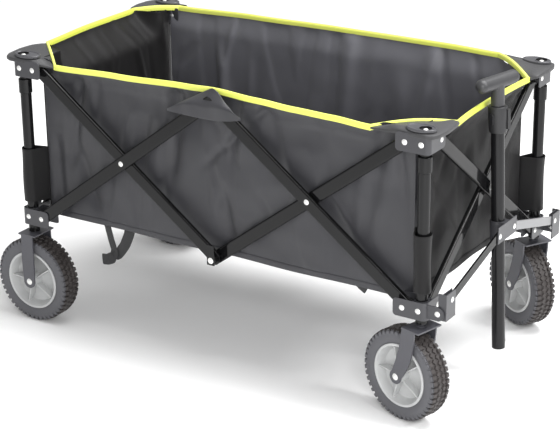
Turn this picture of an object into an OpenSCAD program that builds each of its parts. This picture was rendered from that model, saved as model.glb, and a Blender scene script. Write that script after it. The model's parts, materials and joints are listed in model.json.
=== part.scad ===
// Folding camp wagon: four telescoping posts, scissor bars on all sides, a cloth bag, a pull handle, four wheels.
// +X points forwards to the pull handle, +Y to the left. The origin is on the ground, midway between the posts.
// The model stands open. Closing the scissors draws the posts together and lifts the heads and the bag.

/* [Frame] */
// Distance between the front and rear post axes
post_span_x = 880; // [760:1:1060]
// Distance between the left and right post axes
post_span_y = 468; // [390:1:570]
// Height of the lower bar pivots over the wheels
low_pivot_rise = 49; // [44:1:80]
// Height of the upper bar pivots over the lower ones
bar_rise = 309; // [240:1:400]
// Side bar pivot, inboard of its post axis
side_pivot_in = 32; // [28:0.5:40]
// End bar pivot, inboard of its post axis
end_pivot_in = 30; // [27:0.5:40]

/* [Posts] */
// Outer radius of the lower tube
lower_tube_r = 11; // [9:0.5:12]
// Wall of the post tubes
tube_wall = 1.5; // [1:0.1:2.5]
// Radial gap between the two tubes of a post
slide_gap = 0.25; // [0.1:0.05:0.5]
// Radius of the plastic collar on top of the lower tube
ferrule_r = 13; // [12.5:0.1:13.2]
// Length of that collar
ferrule_h = 30; // [15:1:60]
// Room in a post between the caster's bush and the upper tube
upper_foot_gap = 33; // [5:1:60]

/* [Bars] */
// Width of a scissor bar
bar_w = 25; // [18:0.5:26]
// Thickness of a scissor bar
bar_t = 10; // [7:0.5:10]
// Wall of a scissor bar
bar_wall = 1.2; // [0.8:0.1:2]
// Side gap between bars that cross
bar_gap = 0.3; // [0.2:0.05:0.6]
// Radius of the rivet shanks
rivet_r = 3; // [2:0.1:3.5]
// Radial clearance of a bar on its rivet
rivet_fit = 0.1; // [0.05:0.01:0.3]

/* [Brackets] */
// Thickness of the pressed steel
sheet_t = 2; // [1.5:0.1:2.4]
// Height of a bracket
bracket_h = 34; // [30:1:40]
// Reach of a bracket along the side of the wagon
side_reach = 50; // [47:1:60]
// Reach of a bracket across the end of the wagon
end_reach = 43; // [42:1:50]

/* [Wheels] */
// Outer diameter of a wheel
wheel_d = 175; // [140:1:215]
// Width of the tyre
tyre_w = 45; // [30:1:50]
// Diameter where the tyre sits on the rim
rim_d = 121; // [90:1:130]
// Radius of the axle bolt
axle_r = 4; // [3:0.5:6]
// Gap between tyre and fork on each side
fork_gap = 4.5; // [2:0.5:8]
// How far a caster wheel trails behind its stem
trail = 34; // [20:1:45]
// Room between a wheel and the crown of its fork
crown_gap = 15; // [8:1:30]
// Turn of the right-hand caster as it stands
turn_right = -15; // [-180:1:180]
// Turn of the left-hand caster as it stands
turn_left = -31; // [-180:1:180]

/* [Pull handle] */
// Outer radius of the handle's outer tube
handle_r = 12.5; // [10:0.5:12.5]
// Backward lean of the handle, in degrees
lean = 2.4; // [0:0.1:4]
// Height of the hub pivots over the lower bar pivots
hub_rise = 75.6; // [60:0.1:110]
// Half the distance between the hub pivots
hub_half = 30; // [26:1:40]
// Width of a strut of the pull frame
strut_w = 17; // [12:1:20]
// Length of the outer tube below the hub
tube_below = 237; // [150:1:240]
// Length of the outer tube above the hub
tube_above = 238; // [180:1:260]
// Length of the collar at the top of the outer tube
collar_h = 49; // [35:1:60]
// Length of the cross grip
grip_l = 107; // [80:1:140]
// Turn of the handle about its own axis
grip_turn = 14.7; // [-30:0.1:30]

/* [Bag] */
// Height of the bag's floor over the lower bar pivots
floor_rise = 8; // [5:1:30]
// Thickness of the floor panels
floor_t = 4; // [2:0.5:8]
// Thickness of the cloth walls
cloth_t = 3; // [2:0.5:4]
// Height of the top of the rim over the heads
rim_rise = 3; // [1:1:90]
// Depth of the corner cuts at the front of the rim
front_cut = 90; // [70:1:120]
// Depth of the corner cuts at the rear of the rim
rear_cut = 70; // [55:1:100]
// How far the rim stands out past the front posts
front_rim_out = 1; // [-8:1:3]
// How far the rim stands out past the rear posts
rear_rim_out = 28; // [0:1:34]

/* [Hidden] */

$fn = 48;
steel = "dimgray";
black = [0.09, 0.09, 0.1];
cloth = [0.2, 0.2, 0.21];
lime = [0.75, 0.85, 0.25];

// corners: [forwards, left], each -1 or +1
RR = [-1, -1];
FR = [1, -1];
RL = [-1, 1];
FL = [1, 1];

// layers of the bars, as distance outward from the post axes
pitch = bar_t + bar_gap;
plate_y = 14;
face_y = plate_y + sheet_t;
layer = [for (i = [0 : 2]) plate_y - bar_gap - bar_t / 2 - i * pitch];
side_inner = layer[2] - bar_t / 2 - bar_gap - 0.2;
end_inner = layer[1] - bar_t / 2 - bar_gap - 0.2;
web_in = 11.1;
bend_r = 10;
boss_r = 13.5;

low_pivot_z = wheel_d + low_pivot_rise;
high_pivot_z = low_pivot_z + bar_rise;
side_pivot_x = post_span_x / 2 - side_pivot_in;
end_pivot_y = post_span_y / 2 - end_pivot_in;

upper_tube_r = lower_tube_r - tube_wall - slide_gap;
crown_z = wheel_d + crown_gap;
post_foot_z = crown_z + 7;
bush_h = 36;
ferrule_top = high_pivot_z - bracket_h / 2 - 6;
head_top = high_pivot_z + bracket_h / 2;

head_r = 5.2;
head_h = 2;
drill = 0.05;

fork_t = 3;
fork_in = tyre_w / 2 + fork_gap;
rear_axle_x = 3;
stem_r = 6;

lug_x = 35;
strut_t = 4;
strut_x = 46.8;
swivel_top = low_pivot_z + 38;
swivel_pivot_y = 17;
swivel_pivot_z = low_pivot_z + 22.5;
hub_z = low_pivot_z + hub_rise;
hub_x = post_span_x / 2 + 32;
handle_bore = handle_r + 0.1;
inner_r = handle_r - tube_wall - 0.2;
collar_r = 17.5;

wall_y = post_span_y / 2 - 21.5;
wall_x = post_span_x / 2 - 25;
rim_y = post_span_y / 2 - 9;
bag_floor_z = low_pivot_z + floor_rise;
rim_z = head_top + rim_rise;
corner_top = head_top;
side_flare_z = head_top - 35;
end_flare_z = head_top - 60;
gusset_z = head_top + 0.3;
end_rim_end = post_span_y / 2 - 104;
sleeve_in = ferrule_r + 0.8;
sleeve_out = sleeve_in + 2.2;
sleeve_low = bag_floor_z + 23;
sleeve_high = sleeve_low + 110;

// stands the children, drawn at the front left post, at any corner
module at_corner(c) {
    translate([c[0] * post_span_x / 2, c[1] * post_span_y / 2, 0])
        mirror([c[0] < 0 ? 1 : 0, 0, 0])
            mirror([0, c[1] < 0 ? 1 : 0, 0])
                children();
}

// turns the children's Z axis to the wagon's Y or X axis
module along_y() { rotate([-90, 0, 0]) children(); }
module along_x() { rotate([0, 90, 0]) children(); }

// a rivet along Z from 0 to l, domed at both ends
module rivet(l) {
    cylinder(r = rivet_r, h = l);
    translate([0, 0, l]) dome(head_r, head_h);
    mirror([0, 0, 1]) dome(head_r - 0.7, head_h - 0.4);
}

// a low round head on the XY plane
module dome(r, h) {
    ball = (r * r + h * h) / (2 * h);
    intersection() {
        translate([0, 0, h - ball]) sphere(r = ball, $fn = 64);
        cylinder(r = r + 1, h = h + 1);
    }
}

// a short head riveted against a plate
module rivet_head(l) {
    translate([0, 0, -l]) cylinder(r = rivet_r, h = l);
    dome(head_r, head_h);
}

// a nylon spacer along Z between two heights
module spacer(low, high) {
    translate([0, 0, low])
        difference() {
            cylinder(r = 7, h = high - low);
            translate([0, 0, -1]) cylinder(r = rivet_r + drill, h = high - low + 2);
        }
}

// ---- posts ----

module tube(r, wall, low, high) {
    translate([0, 0, low])
        difference() {
            cylinder(r = r, h = high - low);
            translate([0, 0, -1]) cylinder(r = r - wall, h = high - low + 2);
        }
}

module ferrule() {
    foot = ferrule_top - ferrule_h;
    translate([0, 0, foot])
        difference() {
            rotate_extrude()
                polygon([[0, 0], [ferrule_r - 1, 0], [ferrule_r, 1], [ferrule_r, ferrule_h - 2],
                    [ferrule_r - 2, ferrule_h], [0, ferrule_h]]);
            translate([0, 0, -1]) cylinder(r = lower_tube_r, h = ferrule_h - 1);
            translate([0, 0, -1]) cylinder(r = upper_tube_r + slide_gap, h = ferrule_h + 2);
        }
}

module lower_post(c) {
    color(black) at_corner(c) {
        tube(lower_tube_r, tube_wall, c[0] < 0 ? crown_z : post_foot_z, ferrule_top - 2);
        ferrule();
        if (c[0] > 0) caster_bush();
    }
}

// the nylon bush that carries the caster's stem
module caster_bush() {
    tube(lower_tube_r - tube_wall - drill, lower_tube_r - tube_wall - drill - stem_r - 0.08,
        post_foot_z, post_foot_z + bush_h);
}

module upper_post(c) {
    color(black) at_corner(c)
        tube(upper_tube_r, tube_wall, post_foot_z + bush_h + upper_foot_gap, head_top - 3);
}

// ---- brackets ----

// plan of the outer plate, bent round the corner
module corner_strip() {
    bend = face_y - bend_r;
    translate([-side_reach, plate_y]) square([side_reach + bend, sheet_t]);
    translate([plate_y, -end_reach]) square([sheet_t, end_reach + bend]);
    intersection() {
        translate([bend, bend])
            difference() {
                circle(r = bend_r);
                circle(r = bend_r - sheet_t);
            }
        translate([bend, bend]) square(bend_r + 1);
    }
}

// plan of the inner plates and of the webs that join them to the post
module inner_strips() {
    translate([-side_reach + 2, side_inner - sheet_t]) square([side_reach - 2 - web_in + sheet_t, sheet_t]);
    translate([-web_in, side_inner - sheet_t]) square([sheet_t, plate_y - side_inner + sheet_t + 1]);
    translate([end_inner - sheet_t, -end_reach + 2]) square([sheet_t, end_reach - web_in]);
    translate([end_inner - sheet_t, -web_in - sheet_t]) square([plate_y - end_inner + sheet_t + 1, sheet_t]);
}

module bracket_shell(z, bore_r) {
    low = z - bracket_h / 2;
    difference() {
        translate([0, 0, low])
            linear_extrude(bracket_h) {
                corner_strip();
                inner_strips();
                circle(r = boss_r);
            }
        translate([0, 0, low - 1]) cylinder(r = bore_r, h = bracket_h + 2);
        translate([-side_pivot_in, -post_span_y / 8, z]) along_y()
            cylinder(r = rivet_r + drill, h = post_span_y / 4);
        translate([-post_span_x / 16, -end_pivot_in, z]) along_x()
            cylinder(r = rivet_r + drill, h = post_span_x / 8);
        translate([0, plate_y - 0.5, z]) along_y() cylinder(r = rivet_r + drill, h = 9);
        free_corners(z);
    }
}

// what rounds off the free corners of a bracket's plates
module free_corners(z) {
    translate([-side_reach, -post_span_y / 8, z]) rotate([-90, 0, 0]) corner_cutters(post_span_y / 4);
    translate([-post_span_x / 16, -end_reach, z]) rotate([-90, 0, -90]) mirror([1, 0, 0])
        corner_cutters(post_span_x / 8);
}

module corner_cutters(l) {
    r = 7;
    for (s = [-1, 1])
        mirror([0, s < 0 ? 1 : 0, 0]) translate([0, bracket_h / 2, 0])
            difference() {
                translate([-1, -r, 0]) cube([r + 1, r + 1, l]);
                translate([r, -r, -1]) cylinder(r = r, h = l + 2);
            }
}

// the rivets of a bracket, with spacers beside the bar in layer s on the side and layer e on the end
module bracket_rivets(z, s, e) {
    side_tail = side_inner - sheet_t;
    end_tail = end_inner - sheet_t;
    translate([-side_pivot_in, side_tail, z]) along_y() rivet(face_y - side_tail);
    translate([end_tail, -end_pivot_in, z]) along_x() rivet(face_y - end_tail);
    translate([0, face_y, z]) along_y() rivet_head(sheet_t);
    translate([-side_pivot_in, 0, z]) along_y() bar_spacers(s, side_inner);
    translate([0, -end_pivot_in, z]) along_x() bar_spacers(e, end_inner);
}

module bar_spacers(i, inner) {
    top = layer[i] + pitch / 2;
    foot = layer[i] - pitch / 2;
    if (plate_y - top > 2) spacer(top, plate_y);
    if (foot - inner > 2) spacer(inner, foot);
}

module lower_bracket(c, s, e) {
    color(steel) at_corner(c) {
        if (c[0] < 0) bracket_shell(low_pivot_z, lower_tube_r + drill);
        else lug_bracket();
        bracket_rivets(low_pivot_z, s, e);
        if (c[0] > 0) translate([lug_x, 0.5, low_pivot_z]) along_y() rivet(8.5);
    }
}

// a front lower bracket, with the forward lug that carries the pull frame
module lug_bracket() {
    difference() {
        union() {
            bracket_shell(low_pivot_z, lower_tube_r + drill);
            translate([plate_y, 6, low_pivot_z - 13]) cube([lug_x - plate_y, 3, 26]);
            translate([lug_x, 6, low_pivot_z]) along_y() cylinder(r = 13, h = 3);
        }
        translate([lug_x, 0, low_pivot_z]) along_y() cylinder(r = rivet_r + drill, h = 20);
        translate([0, 0, low_pivot_z - 20]) cylinder(r = lower_tube_r + drill, h = 40);
    }
}

module head_bracket(c, s, e) {
    color(steel) at_corner(c) {
        bracket_shell(high_pivot_z, upper_tube_r + drill);
        bracket_rivets(high_pivot_z, s, e);
    }
}

// the plastic cap on a head: a corner plate with a raised disc round the screw recess
module corner_cap(c) {
    cap_z = gusset_z + cloth_t / 2 + 0.6;
    color(black) at_corner(c) {
        difference() {
            union() {
                translate([0, 0, cap_z]) linear_extrude(2.4) cap_plan();
                translate([0, 0, cap_z]) cylinder(r = 16, h = 3.6);
            }
            translate([0, 0, cap_z + 1]) cylinder(r = 11, h = 9);
        }
        translate([0, 0, cap_z + 1]) dome(4.2, 1.8);
    }
}

// plan of a cap: a rounded outer corner, with its sides over the bracket's two faces
module cap_plan() {
    out = face_y + 10;
    side = face_y + 2;
    r = 12;
    polygon([[-side_reach, side - 6], [4 - side_reach, side], [out - r, side], [out, side - r],
        [out - 4, -end_reach], [face_y - 3, -end_reach - 7], [-9, -end_reach], [3 - end_reach, -17],
        [-side_reach - 3, -2]]);
    translate([out - r, side - r]) circle(r = r);
}

// ---- scissor bars ----

// a flat-sided tube of length l between its pivots, lying along X from the origin, centred on Y
module bar_body(l) {
    round_r = 3.5;
    difference() {
        intersection() {
            translate([-bar_w, 0, 0]) rotate([90, 0, 90]) linear_extrude(l + 2 * bar_w)
                soft_rectangle(bar_t, bar_w, round_r);
            rotate([90, 0, 0]) translate([0, 0, -bar_t]) linear_extrude(2 * bar_t) {
                circle(r = bar_w / 2);
                translate([l, 0]) circle(r = bar_w / 2);
                translate([0, -bar_w / 2]) square([l, bar_w]);
            }
        }
        translate([-bar_w, 0, 0]) rotate([90, 0, 90]) linear_extrude(l + 2 * bar_w)
            soft_rectangle(bar_t - 2 * bar_wall, bar_w - 2 * bar_wall, round_r - bar_wall);
    }
}

module soft_rectangle(w, h, r) {
    square([w, h - 2 * r], center = true);
    square([w - 2 * r, h], center = true);
    for (x = [-1, 1], y = [-1, 1]) translate([x * (w / 2 - r), y * (h / 2 - r)]) circle(r = r);
}

// a bar with holes at its two ends and its middle
module bar(l) {
    difference() {
        bar_body(l);
        for (x = [0, l / 2, l])
            translate([x, -bar_t, 0]) along_y() cylinder(r = rivet_r + rivet_fit, h = 2 * bar_t);
    }
}

// places a bar in the XZ plane from [x, z] to [x, z]
module between(from, to) {
    run = to - from;
    translate([from[0], 0, from[1]]) rotate([0, -atan2(run[1], run[0]), 0]) children();
}

side_len = norm([side_pivot_x, bar_rise]);
end_len = norm([2 * end_pivot_y, bar_rise]);

// a side bar in its layer, on the right (-1) or the left (+1)
module side_bar(side, i, from, to, rivet_at) {
    out = side * (post_span_y / 2 + layer[i]);
    color(black) {
        translate([0, out, 0]) between(from, to) bar(side_len);
        for (p = rivet_at)
            translate([p[0], out, p[1]]) mirror([0, side < 0 ? 1 : 0, 0]) along_y() joint_rivet(p[2]);
    }
}

// a rivet fixed in an outer bar that also carries the next bar inward (n = 1), or outward (n = -1)
module joint_rivet(n) {
    low = n > 0 ? -pitch - bar_t / 2 : -bar_t / 2;
    high = n > 0 ? bar_t / 2 : pitch + bar_t / 2;
    translate([0, 0, low]) rivet(high - low);
}

// an end bar in its layer, at the rear (-1) or the front (+1)
module end_bar(end, i, from, to, rivet_at) {
    out = end * (post_span_x / 2 + layer[i]);
    color(black) {
        translate([out, 0, 0]) rotate([0, 0, 90]) between(from, to) bar(end_len);
        for (p = rivet_at)
            translate([out, p[0], p[1]]) mirror([end < 0 ? 1 : 0, 0, 0]) along_x() joint_rivet(p[2]);
    }
}

mid_z = (low_pivot_z + high_pivot_z) / 2;

module bar_rear_low(side) {
    side_bar(side, 0, [-side_pivot_x, low_pivot_z], [0, high_pivot_z],
        [[-side_pivot_x / 2, mid_z, 1], [0, high_pivot_z, 1]]);
}

module bar_rear_high(side) {
    side_bar(side, 1, [-side_pivot_x, high_pivot_z], [0, low_pivot_z], [[0, low_pivot_z, 1]]);
    color(black)
        translate([0, side * (post_span_y / 2 + layer[1] + bar_t / 2), low_pivot_z])
            mirror([0, side < 0 ? 1 : 0, 0]) hinge_clip();
}

// the upright clip on a spacer over the lower centre hinge
module hinge_clip() {
    out = pitch;
    along_y() cylinder(r = 8, h = out);
    translate([-8, out, -9]) cube([16, sheet_t, 40]);
    translate([0, out + sheet_t, 0]) along_y() dome(head_r + 0.8, head_h);
}

module bar_front_low(side) {
    side_bar(side, 1, [0, high_pivot_z], [side_pivot_x, low_pivot_z], [[side_pivot_x / 2, mid_z, 1]]);
}

module bar_front_high(side) {
    side_bar(side, 2, [0, low_pivot_z], [side_pivot_x, high_pivot_z], []);
}

module end_bar_high(end) {
    end_bar(end, 0, [-end_pivot_y, high_pivot_z], [end_pivot_y, low_pivot_z], [[0, mid_z, 1]]);
}

module end_bar_low(end) {
    end_bar(end, 1, [-end_pivot_y, low_pivot_z], [end_pivot_y, high_pivot_z], []);
}

// ---- wheels and forks ----

// how far a caster is turned as it stands: the stem's turn, seen from above
function turn_of(c) = c[0] < 0 ? 0 : (c[1] < 0 ? turn_right : turn_left);
function axle_back(c) = c[0] < 0 ? -rear_axle_x : trail;

// stands a fork or wheel, drawn with its stem on the Z axis, under its corner
module under_corner(c) {
    translate([c[0] * post_span_x / 2, c[1] * post_span_y / 2, 0]) rotate([0, 0, turn_of(c)]) children();
}

module fork(c) {
    back = axle_back(c);
    color(steel) under_corner(c) {
        difference() {
            union() {
                crown(c);
                for (s = [-1, 1])
                    translate([0, s * (fork_in + fork_t / 2) + fork_t / 2, 0]) rotate([90, 0, 0])
                        linear_extrude(fork_t) fork_side(c);
            }
            translate([-back, -fork_in - fork_t - 1, wheel_d / 2]) along_y()
                cylinder(r = axle_r + drill, h = 2 * (fork_in + fork_t + 1));
        }
        axle(back);
        if (c[0] > 0) stem();
    }
}

// the plate that joins the two sides over the wheel
module crown(c) {
    back = c[0] < 0 ? 18 : 21;
    front = c[0] < 0 ? 24 : 20;
    translate([-back, -fork_in - fork_t, crown_z - fork_t]) cube([back + front, 2 * (fork_in + fork_t), fork_t]);
}

// side view of a fork leg: straight at the rear, swept back at the front
module fork_side(c) {
    end_r = 13.5;
    back = axle_back(c);
    top = c[0] < 0 ? [-11, 17] : [-20, 10];
    steps = 10;
    left = [for (k = [0 : steps]) bow([top[0], crown_z], [top[0] - 4, crown_z * 0.72],
        [-back - end_r, wheel_d / 2], k / steps)];
    right = [for (k = [0 : steps]) bow([-back + end_r, wheel_d / 2], [top[1], crown_z * 0.68],
        [top[1], crown_z], k / steps)];
    polygon(concat(left, right));
    translate([-back, wheel_d / 2]) circle(r = end_r);
}

// a point at share t of a quadratic curve
function bow(a, b, c, t) = (1 - t) * (1 - t) * a + 2 * t * (1 - t) * b + t * t * c;

module axle(back) {
    half = fork_in + fork_t;
    translate([-back, -half, wheel_d / 2]) along_y() {
        cylinder(r = axle_r, h = 2 * half);
        translate([0, 0, 2 * half]) dome(head_r + 1.3, head_h + 0.8);
        mirror([0, 0, 1]) dome(head_r + 1.3, head_h + 0.8);
    }
}

// the caster's stem, standing on the crown with a thrust washer
module stem() {
    translate([0, 0, crown_z]) cylinder(r = stem_r, h = post_foot_z + 34 - crown_z);
    translate([0, 0, crown_z])
        difference() {
            cylinder(r = 9, h = 3);
            translate([0, 0, -1]) cylinder(r = stem_r + drill, h = 5);
        }
}

module at_wheel(c) {
    under_corner(c) translate([-axle_back(c), 0, wheel_d / 2]) rotate([90, 0, 0]) children();
}

module rim(c) {
    half = tyre_w / 2 - 1;
    lip = rim_d / 2;
    spokes = 5;
    color("silver") at_wheel(c)
        difference() {
            union() {
                rotate_extrude($fn = 96)
                    polygon([[0, -fork_in + 0.5], [13, -fork_in + 0.5], [14, -9], [lip - 7, -4],
                        [lip - 4.5, -half], [lip, -half], [lip, half], [lip - 4.5, half],
                        [lip - 7, 4], [14, 9], [13, fork_in - 0.5], [0, fork_in - 0.5]]);
                for (k = [0 : spokes - 1])
                    rotate([0, 0, 18 + k * 360 / spokes])
                        translate([10, -1.6, -13]) cube([lip - 13, 3.2, 26]);
            }
            translate([0, 0, -fork_in]) cylinder(r = axle_r + 0.1, h = 2 * fork_in);
        }
}

module tyre(c) {
    half = tyre_w / 2;
    out = wheel_d / 2;
    seat = rim_d / 2 + drill;
    color(black) at_wheel(c)
        rotate_extrude($fn = 96)
            polygon([[seat, -half + 2], [seat + 5, -half], [out - 10, -half], [out - 3, -half + 4.5],
                [out, -half + 12], [out, half - 12], [out - 3, half - 4.5], [out - 10, half],
                [seat + 5, half], [seat, half - 2]]);
}

// ---- pull frame and handle ----

// a swivel bracket: side plate on the lug, and two plates that hold the strut
module swivel_bracket(side) {
    front = strut_x + strut_t / 2 + bar_gap;
    rear = strut_x - strut_t / 2 - bar_gap;
    foot = low_pivot_z - 12;
    outer = 5.7;
    inner = -swivel_pivot_y - 12;
    color(steel) at_corner([1, side]) {
        difference() {
            union() {
                translate([lug_x, outer - 2.5, low_pivot_z]) along_y() cylinder(r = 12, h = 2.5);
                translate([lug_x, outer - 2.5, foot]) cube([front + sheet_t - lug_x, 2.5, swivel_top - foot]);
                translate([front, inner, foot]) cube([sheet_t, outer - inner, swivel_top - foot]);
                translate([rear - sheet_t, inner, low_pivot_z + 11])
                    cube([sheet_t, outer - inner, swivel_top - low_pivot_z - 11]);
            }
            translate([lug_x, -4, low_pivot_z]) along_y() cylinder(r = rivet_r + rivet_fit, h = 14);
            translate([rear - 9, -swivel_pivot_y, swivel_pivot_z]) along_x()
                cylinder(r = rivet_r + drill, h = 24);
        }
        translate([rear - sheet_t, -swivel_pivot_y, swivel_pivot_z]) along_x()
            rivet(front - rear + 2 * sheet_t);
    }
}

strut_low_y = post_span_y / 2 - swivel_pivot_y;
strut_len = norm([strut_low_y - hub_half, hub_z - swivel_pivot_z]);

// a strut from its swivel bracket up to the hub
module strut(side) {
    color(black)
        translate([post_span_x / 2 + strut_x, side * strut_low_y, swivel_pivot_z])
            rotate([0, 0, -side * 90])
                rotate([0, -atan2(hub_z - swivel_pivot_z, strut_low_y - hub_half), 0])
                    strut_bar();
}

module strut_bar() {
    difference() {
        rotate([90, 0, 0]) translate([0, 0, -strut_t / 2]) linear_extrude(strut_t) {
            circle(r = strut_w / 2);
            translate([strut_len, 0]) circle(r = strut_w / 2);
            translate([0, -strut_w / 2]) square([strut_len, strut_w]);
        }
        for (x = [0, strut_len])
            translate([x, -strut_t, 0]) along_y() cylinder(r = rivet_r + rivet_fit, h = 2 * strut_t);
    }
}

// puts the children's Z axis on the handle's axis, with zero at the hub
module on_handle() {
    translate([hub_x, 0, hub_z]) rotate([0, -lean, 0]) children();
}

// the hub: a sleeve round the handle with a front plate for the struts
module handle_hub() {
    half_h = 13;
    plate_x = post_span_x / 2 + strut_x + strut_t / 2 + bar_gap;
    sleeve_r = handle_bore + 2.9;
    color(steel) {
        difference() {
            union() {
                difference() {
                    on_handle() translate([0, 0, -half_h - 6]) cylinder(r = sleeve_r, h = 2 * half_h + 12);
                    translate([plate_x - strut_t - 2 * bar_gap, -40, hub_z - 40]) cube([20, 80, 80]);
                }
                translate([plate_x, -hub_half - 8, hub_z - half_h]) cube([sheet_t, 2 * hub_half + 16, 2 * half_h + 6]);
                translate([hub_x + 8, -11, hub_z + strut_w / 2 + 2]) cube([plate_x - hub_x - 7, 22, half_h - 4.5]);
            }
            on_handle() translate([0, 0, -40]) cylinder(r = handle_bore, h = 80);
            translate([plate_x - 20, -hub_half, hub_z]) along_x() cylinder(r = rivet_r + drill, h = 30);
        }
        translate([plate_x - strut_t - 2 * bar_gap, -hub_half, hub_z]) along_x()
            rivet(strut_t + 2 * bar_gap + sheet_t);
        translate([plate_x + sheet_t, hub_half, hub_z]) along_x() dome(head_r, head_h);
    }
}

module handle_tube() {
    color(black) on_handle() {
        tube(handle_r, tube_wall, -tube_below, tube_above - 4);
        rotate([0, 0, 40]) translate([handle_r, 0, 14 - tube_below]) along_x() dome(head_r - 1, head_h - 0.4);
    }
}

// the clamp collar at the top of the outer tube, pocketed for its button
module handle_collar() {
    foot = tube_above - collar_h;
    color(black) on_handle() rotate([0, 0, -grip_turn])
        difference() {
            union() {
                translate([0, 0, foot])
                    rotate_extrude()
                        polygon([[0, 0], [collar_r - 2, 0], [collar_r - 1, 2], [collar_r, collar_h * 0.6],
                            [collar_r, collar_h - 2], [collar_r - 1.5, collar_h], [0, collar_h]]);
                translate([6, 6, foot + 6]) cube([12.5, 8, collar_h - 12]);
            }
            translate([0, 0, foot - 1]) cylinder(r = handle_r + drill, h = collar_h - 3);
            translate([0, 0, foot - 1]) cylinder(r = inner_r + 0.2, h = collar_h + 2);
            translate([0, 0, button_z()]) rotate([90, 0, 0]) translate([0, 0, handle_r + 1.2])
                linear_extrude(9) button_plan(0.25);
        }
}

function button_z() = tube_above - collar_h / 2 + 2;

module button_plan(gap) {
    half_l = 5.5;
    for (y = [-half_l, half_l]) translate([0, y]) circle(r = 5 + gap);
    square([2 * (5 + gap), 2 * half_l], center = true);
}

module release_button() {
    travel = 2;
    color("gray") on_handle() rotate([0, 0, -grip_turn])
        translate([0, 0, button_z()]) rotate([90, 0, 0]) translate([0, 0, handle_r + 1.4 + travel])
            linear_extrude(3.8) button_plan(0);
}

module inner_tube() {
    overlap = 390;
    color("gray") on_handle() tube(inner_r, tube_wall, tube_above - overlap, tube_above + 28);
}

// the T grip: a round-ended bar across the top, and the neck that holds the inner tube
module grip() {
    r = 13;
    neck_r = 12.5;
    mid = tube_above + 44.5;
    reach = grip_l / 2 - r;
    color(black) on_handle() rotate([0, 0, -grip_turn])
        difference() {
            union() {
                translate([0, -reach, mid]) along_y() cylinder(r = r, h = 2 * reach);
                for (s = [-1, 1]) translate([0, s * reach, mid]) sphere(r = r);
                translate([0, 0, tube_above + 0.5]) cylinder(r = neck_r, h = mid - tube_above);
            }
            translate([0, 0, tube_above - 1]) cylinder(r = inner_r + drill, h = 29.05);
        }
}

// ---- bag ----

// a wall panel drawn outward along Y: straight below the corners, flared out at the rim between them
module wall_panel(half, flare_low, flare_high, face, rim_face, start_z) {
    t = cloth_t;
    rotate([90, 0, 90]) {
        translate([0, 0, -half]) linear_extrude(2 * half)
            polygon([[face - t, bag_floor_z], [face, bag_floor_z], [face, start_z], [face - t, start_z]]);
        translate([0, 0, -half]) linear_extrude(half - flare_low) wall_head(face, start_z);
        translate([0, 0, flare_high]) linear_extrude(half - flare_high) wall_head(face, start_z);
        translate([0, 0, -flare_low]) linear_extrude(flare_low + flare_high)
            polygon([[face - t, start_z], [face, start_z], [rim_face, rim_z - 10], [rim_face, rim_z],
                [rim_face - t, rim_z], [rim_face - t, rim_z - 9], [face - t, start_z + t / 2]]);
    }
}

module wall_head(face, start_z) {
    polygon([[face - cloth_t, start_z], [face, start_z], [face, corner_top], [face - cloth_t, corner_top]]);
}

// the cloth sleeve round a post, and the web that joins it to the wall at [x, y] from the post axis
module post_sleeve(meet) {
    h = sleeve_high - sleeve_low;
    translate([0, 0, sleeve_low]) rotate([0, 0, atan2(meet[1], meet[0])])
        difference() {
            union() {
                cylinder(r = sleeve_out, h = h);
                translate([0, -1.25, 0]) cube([norm(meet) + 0.6, 2.5, h]);
            }
            translate([0, 0, -1]) cylinder(r = sleeve_in, h = h + 2);
        }
}

// how deep the rim's corner is cut, and how far it stands out past the post
function cut_of(c) = c[0] < 0 ? rear_cut : front_cut;
function rim_out(x) = x < 0 ? rear_rim_out : front_rim_out;

// the cloth gusset between a head and the cut corner of the rim
module gusset(c) {
    translate([0, 0, gusset_z])
        linear_extrude(cloth_t / 2)
            polygon([[-cut_of(c), rim_y - post_span_y / 2], [8, face_y], [face_y, 8],
                [rim_out(c[0]), end_rim_end - post_span_y / 2]]);
}

module side_wall(side) {
    corner = side < 0 ? RR : FL;
    cut = cut_of(corner);
    meet = [-34, wall_y - post_span_y / 2 - cloth_t / 2];
    color(cloth) {
        mirror([0, side < 0 ? 1 : 0, 0])
            wall_panel(wall_x - cloth_t - 0.5, post_span_x / 2 - rear_cut - 1,
                post_span_x / 2 - front_cut - 1, wall_y, rim_y, side_flare_z);
        at_corner(corner) {
            post_sleeve(meet);
            gusset(corner);
            translate([2 - cut, wall_y - 0.8 * cloth_t - post_span_y / 2, corner_top - 8])
                cube([cut - 34, 0.6 * cloth_t, gusset_z - corner_top + 8.5]);
        }
        if (side < 0) closure_strap();
    }
}

module end_wall(end) {
    corner = end > 0 ? FR : RL;
    meet = [wall_x - post_span_x / 2 - 1, wall_y - post_span_y / 2 - 1];
    color(cloth) {
        mirror([end < 0 ? 1 : 0, 0, 0]) rotate([0, 0, -90])
            wall_panel(wall_y, end_rim_end - 1, end_rim_end - 1, wall_x, post_span_x / 2 + rim_out(end),
                end_flare_z);
        at_corner(corner) {
            post_sleeve(meet);
            gusset(corner);
            translate([wall_x - 0.8 * cloth_t - post_span_x / 2, 3 + end_rim_end - post_span_y / 2,
                corner_top - 8])
                cube([0.6 * cloth_t, post_span_y / 2 - end_rim_end - 34, gusset_z - corner_top + 8.5]);
        }
    }
}

// the webbing strap that hangs in a loop under the floor
module closure_strap() {
    x = -post_span_x * 0.3;
    w = 22;
    top = bag_floor_z - 0.6;
    tip = bag_floor_z - 76;
    translate([0, 34 - wall_y, 0]) rotate([90, 0, 0])
        linear_extrude(2)
            polygon([[x - 38, top], [x - 38 + w, top], [x, tip + 32], [x + 34 - w, top], [x + 34, top],
                [x + 14, tip + 12], [x - 2, tip], [x - 34, tip - 5], [x - 34, tip - 1], [x - 10, tip + 8]]);
}

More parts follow.
